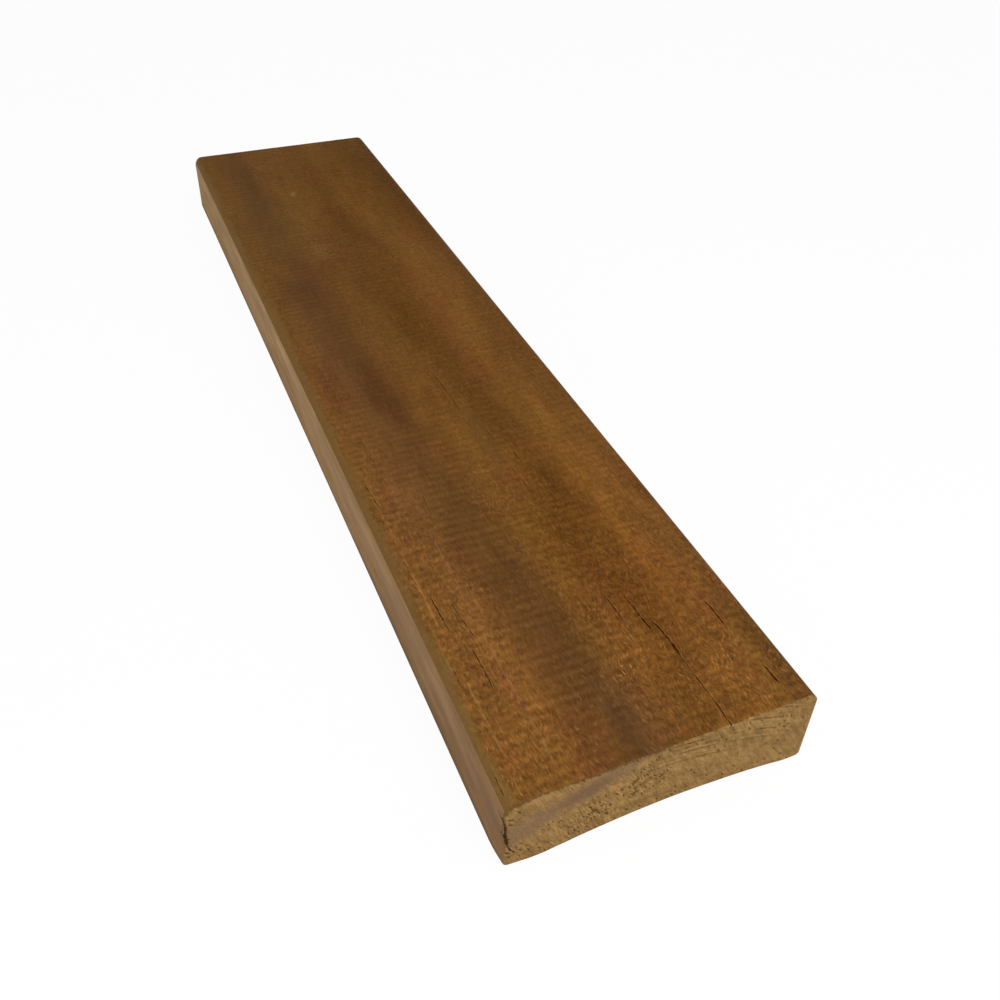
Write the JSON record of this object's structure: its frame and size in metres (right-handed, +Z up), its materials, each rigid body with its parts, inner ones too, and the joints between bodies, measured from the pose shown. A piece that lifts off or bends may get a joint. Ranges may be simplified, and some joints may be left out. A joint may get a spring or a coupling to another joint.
{
  "type": "cover strip",
  "caption": "Short length of planed hardwood cover strip, rounded along its long edges, with a shallow hollow back, to cover or trim a joint or an edge.",
  "frame": {"origin": "under the middle of the strip, on the plane that the two lands of its back rest on", "axes": "+X along the grain to the end with the chipped corner, +Y across the strip towards the narrow land of its back, +Z up out of the show face"},
  "size_m": [0.3166, 0.07, 0.021],
  "materials": {
    "hardwood": "planed, with faint knife marks across the grain; oiled on the show face, bare on the sides and back, sawn at the ends"
  },
  "bodies": {
    "root": {"cover_strip": "hardwood"}
  },
  "joints": []
}
